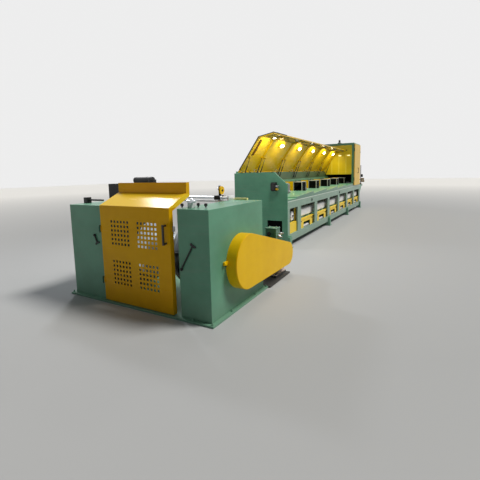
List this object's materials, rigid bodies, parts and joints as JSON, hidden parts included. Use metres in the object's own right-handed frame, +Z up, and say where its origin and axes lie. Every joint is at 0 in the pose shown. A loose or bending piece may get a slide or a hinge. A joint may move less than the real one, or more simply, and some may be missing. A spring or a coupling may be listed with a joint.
{
  "type": "wire drawing line",
  "caption": "Straight-line wire drawing machine with stepped decks, die boxes and drums under strut-held hoods, a tall cabinet and a separate spool take-up.",
  "frame": {"origin": "middle of the footprint on the floor", "axes": "+X along the line from the take-up to the wire's entry, +Y to the back, +Z up"},
  "size_m": [13.315, 2.448, 2.875],
  "materials": {
    "green_paint": "satin enamel",
    "yellow_paint": "satin enamel",
    "black_paint": "satin",
    "grey_paint": "satin",
    "bare_steel": "ground",
    "brass": "turned",
    "bright_steel": "polished"
  },
  "bodies": {
    "machine": {"bed_exit": "green_paint", "bed_middle": "green_paint", "bed_entry": "green_paint", "motor_shelf": "green_paint", "machine_feet": "green_paint", "end_plate": "green_paint", "rear_wall": "green_paint", "deck_plates": "green_paint", "rear_shelf": "green_paint", "drums": "bare_steel", "wire_guards": "yellow_paint", "die_boxes": "grey_paint", "die_box_fronts": "black_paint", "block_motors": "grey_paint", "belt_covers": "yellow_paint", "belt_rollers": "grey_paint", "rear_covers": "green_paint", "exit_bracket": "black_paint", "exit_rollers": "bare_steel", "cabinet_frame": "green_paint", "cabinet_panel": "yellow_paint", "beacon": "black_paint", "entry_table": "green_paint", "entry_stand": "black_paint", "entry_rollers": "brass", "takeup_base": "green_paint", "back_housing": "green_paint", "front_housing": "green_paint", "pintles": "bare_steel", "belt_guard": "yellow_paint", "takeup_motor": "green_paint", "motor_rails": "black_paint", "traverse_rods": "bright_steel", "traverse_drive": "black_paint", "top_fittings": "black_paint"},
    "hood_1": {"hood_1": "yellow_paint"},
    "strut_cylinders_1": {"strut_cylinders_1": "black_paint"},
    "strut_rods_1": {"strut_rods_1": "bright_steel"},
    "hood_2": {"hood_2": "yellow_paint"},
    "strut_cylinders_2": {"strut_cylinders_2": "black_paint"},
    "strut_rods_2": {"strut_rods_2": "bright_steel"},
    "hood_3": {"hood_3": "yellow_paint"},
    "strut_cylinders_3": {"strut_cylinders_3": "black_paint"},
    "strut_rods_3": {"strut_rods_3": "bright_steel"},
    "hood_4": {"hood_4": "yellow_paint"},
    "strut_cylinders_4": {"strut_cylinders_4": "black_paint"},
    "strut_rods_4": {"strut_rods_4": "bright_steel"},
    "hood_5": {"hood_5": "yellow_paint"},
    "strut_cylinders_5": {"strut_cylinders_5": "black_paint"},
    "strut_rods_5": {"strut_rods_5": "bright_steel"},
    "hood_6": {"hood_6": "yellow_paint"},
    "strut_cylinders_6": {"strut_cylinders_6": "black_paint"},
    "strut_rods_6": {"strut_rods_6": "bright_steel"},
    "guard_door": {"guard_door": "yellow_paint", "guard_handle": "black_paint"},
    "cabinet_door": {"cabinet_door": "yellow_paint"},
    "spool": {"spool": "grey_paint"},
    "traverse_carriage": {"traverse_carriage": "black_paint"},
    "guide_pulley": {"guide_pulley": "yellow_paint"}
  },
  "joints": [
    {"name": "hood_1_hinge", "type": "hinge", "parent": "machine", "child": "hood_1", "pos_m": [-2.479, 0.653, 1.64], "axis": [1, 0, 0], "range_deg": [0, 54.8]},
    {"name": "strut_1_tilt", "type": "hinge", "parent": "machine", "child": "strut_cylinders_1", "pos_m": [-2.479, 0.572, 1.46], "axis": [1, 0, 0], "range_deg": [0, 46.3]},
    {"name": "strut_1_slide", "type": "slide", "parent": "strut_cylinders_1", "child": "strut_rods_1", "axis": [0, -0.3635, 0.9316], "range_m": [-0.1705, 0]},
    {"name": "hood_2_hinge", "type": "hinge", "parent": "machine", "child": "hood_2", "pos_m": [-1.4175, 0.653, 1.64], "axis": [1, 0, 0], "range_deg": [0, 54.8]},
    {"name": "strut_2_tilt", "type": "hinge", "parent": "machine", "child": "strut_cylinders_2", "pos_m": [-1.4175, 0.572, 1.46], "axis": [1, 0, 0], "range_deg": [0, 46.3]},
    {"name": "strut_2_slide", "type": "slide", "parent": "strut_cylinders_2", "child": "strut_rods_2", "axis": [0, -0.3635, 0.9316], "range_m": [-0.1705, 0]},
    {"name": "hood_3_hinge", "type": "hinge", "parent": "machine", "child": "hood_3", "pos_m": [-0.0875, 0.653, 1.64], "axis": [1, 0, 0], "range_deg": [0, 54.8]},
    {"name": "strut_3_tilt", "type": "hinge", "parent": "machine", "child": "strut_cylinders_3", "pos_m": [-0.0875, 0.572, 1.46], "axis": [1, 0, 0], "range_deg": [0, 46.3]},
    {"name": "strut_3_slide", "type": "slide", "parent": "strut_cylinders_3", "child": "strut_rods_3", "axis": [0, -0.3635, 0.9316], "range_m": [-0.1705, 0]},
    {"name": "hood_4_hinge", "type": "hinge", "parent": "machine", "child": "hood_4", "pos_m": [1.2425, 0.653, 1.64], "axis": [1, 0, 0], "range_deg": [0, 54.8]},
    {"name": "strut_4_tilt", "type": "hinge", "parent": "machine", "child": "strut_cylinders_4", "pos_m": [1.2425, 0.572, 1.46], "axis": [1, 0, 0], "range_deg": [0, 46.3]},
    {"name": "strut_4_slide", "type": "slide", "parent": "strut_cylinders_4", "child": "strut_rods_4", "axis": [0, -0.3635, 0.9316], "range_m": [-0.1705, 0]},
    {"name": "hood_5_hinge", "type": "hinge", "parent": "machine", "child": "hood_5", "pos_m": [2.5725, 0.653, 1.64], "axis": [1, 0, 0], "range_deg": [0, 54.8]},
    {"name": "strut_5_tilt", "type": "hinge", "parent": "machine", "child": "strut_cylinders_5", "pos_m": [2.5725, 0.572, 1.46], "axis": [1, 0, 0], "range_deg": [0, 46.3]},
    {"name": "strut_5_slide", "type": "slide", "parent": "strut_cylinders_5", "child": "strut_rods_5", "axis": [0, -0.3635, 0.9316], "range_m": [-0.1705, 0]},
    {"name": "hood_6_hinge", "type": "hinge", "parent": "machine", "child": "hood_6", "pos_m": [3.8265, 0.653, 1.64], "axis": [1, 0, 0], "range_deg": [0, 54.8]},
    {"name": "strut_6_tilt", "type": "hinge", "parent": "machine", "child": "strut_cylinders_6", "pos_m": [3.8265, 0.572, 1.46], "axis": [1, 0, 0], "range_deg": [0, 46.3]},
    {"name": "strut_6_slide", "type": "slide", "parent": "strut_cylinders_6", "child": "strut_rods_6", "axis": [0, -0.3635, 0.9316], "range_m": [-0.1705, 0]},
    {"name": "guard_door_hinge", "type": "hinge", "parent": "machine", "child": "guard_door", "pos_m": [-6.6125, 0.563, 0.65], "axis": [0, 0, 1], "range_deg": [-105, 0]},
    {"name": "cabinet_door_hinge", "type": "hinge", "parent": "machine", "child": "cabinet_door", "pos_m": [4.4195, -0.556, 1.8], "axis": [0, 0, 1], "range_deg": [-105, 0]},
    {"name": "spool_spin", "type": "hinge", "parent": "machine", "child": "spool", "pos_m": [-5.9375, -0.051, 0.6], "axis": [0, 1, 0], "continuous": true},
    {"name": "traverse_slide", "type": "slide", "parent": "machine", "child": "traverse_carriage", "axis": [0, 1, 0], "range_m": [0, 0.93]},
    {"name": "guide_pulley_spin", "type": "hinge", "parent": "traverse_carriage", "child": "guide_pulley", "pos_m": [-5.3855, -0.497, 1.373], "axis": [0, 1, 0], "continuous": true}
  ],
  "couplings": [
    {"joint": "strut_1_tilt", "follows": "hood_1_hinge", "ratio": 0.84063},
    {"joint": "strut_1_slide", "follows": "hood_1_hinge", "m_per_rad": -0.17734},
    {"joint": "strut_2_tilt", "follows": "hood_2_hinge", "ratio": 0.84063},
    {"joint": "strut_2_slide", "follows": "hood_2_hinge", "m_per_rad": -0.17734},
    {"joint": "strut_3_tilt", "follows": "hood_3_hinge", "ratio": 0.84063},
    {"joint": "strut_3_slide", "follows": "hood_3_hinge", "m_per_rad": -0.17734},
    {"joint": "strut_4_tilt", "follows": "hood_4_hinge", "ratio": 0.84063},
    {"joint": "strut_4_slide", "follows": "hood_4_hinge", "m_per_rad": -0.17734},
    {"joint": "strut_5_tilt", "follows": "hood_5_hinge", "ratio": 0.84063},
    {"joint": "strut_5_slide", "follows": "hood_5_hinge", "m_per_rad": -0.17734},
    {"joint": "strut_6_tilt", "follows": "hood_6_hinge", "ratio": 0.84063},
    {"joint": "strut_6_slide", "follows": "hood_6_hinge", "m_per_rad": -0.17734}
  ]
}
